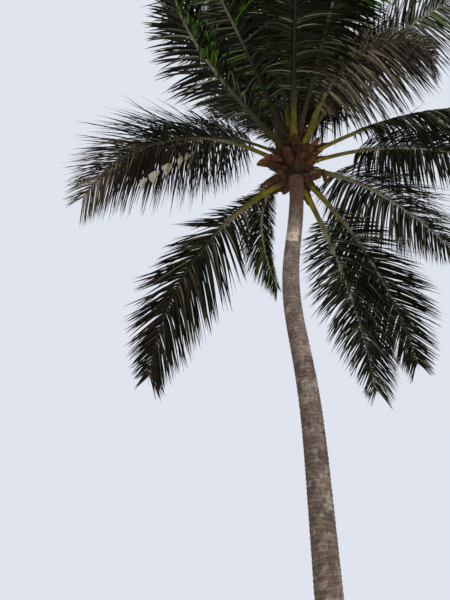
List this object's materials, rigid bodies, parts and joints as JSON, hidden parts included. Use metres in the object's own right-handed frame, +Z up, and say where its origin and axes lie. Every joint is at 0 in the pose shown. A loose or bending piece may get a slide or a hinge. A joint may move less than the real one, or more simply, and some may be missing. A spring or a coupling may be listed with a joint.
{
  "type": "coconut palm tree",
  "caption": "Tall coconut palm with a slender curved ringed trunk and a full crown of long arching feather-shaped fronds, fixed in the ground at its flat cut base.",
  "frame": {"origin": "centre of the trunk's flat cut at ground level", "axes": "+Z up, -Y towards the place the palm is first seen from, +X to the right from there"},
  "size_m": [8.7054, 8.2647, 13.6256],
  "materials": {
    "trunk_bark": "rough weathered bark with ring scars",
    "leaf_base_fibre": "matted brown fibre and old leaf bases",
    "frond_stalk": "smooth waxy yellow-green",
    "frond_leaf": "satin dark green leaf",
    "frond_dry": "dull brown ageing leaf",
    "dry_husk": "dry woody brown"
  },
  "bodies": {
    "root": {"trunk": "trunk_bark", "leaf_base_column": "leaf_base_fibre", "spear_leaf": "frond_stalk", "dry_sheath_left": "dry_husk", "dry_sheath_upper": "dry_husk", "dry_sheath_left_lower": "dry_husk", "fruit_stalk_right": "dry_husk", "fruit_stalk_left": "dry_husk", "frond_01": "frond_leaf", "frond_02_inner": "frond_leaf", "frond_02_outer": "frond_leaf", "frond_03": "frond_leaf", "frond_04_inner": "frond_leaf", "frond_04_outer": "frond_leaf", "frond_05_inner": "frond_dry", "frond_05_outer": "frond_dry", "frond_06": "frond_leaf", "frond_07_inner": "frond_dry", "frond_07_outer": "frond_dry", "frond_08": "frond_leaf", "frond_09": "frond_leaf", "frond_10": "frond_leaf", "frond_11": "frond_leaf", "frond_12": "frond_leaf", "frond_13": "frond_leaf", "frond_14": "frond_leaf", "frond_15_inner": "frond_leaf", "frond_15_outer": "frond_leaf", "frond_16": "frond_leaf", "frond_17": "frond_leaf", "frond_18": "frond_leaf", "frond_19": "frond_leaf", "frond_20": "frond_leaf", "frond_21": "frond_leaf", "frond_22": "frond_leaf", "frond_23": "frond_leaf", "frond_24": "frond_leaf", "frond_25": "frond_leaf", "frond_26": "frond_leaf", "frond_27": "frond_leaf"}
  },
  "joints": []
}
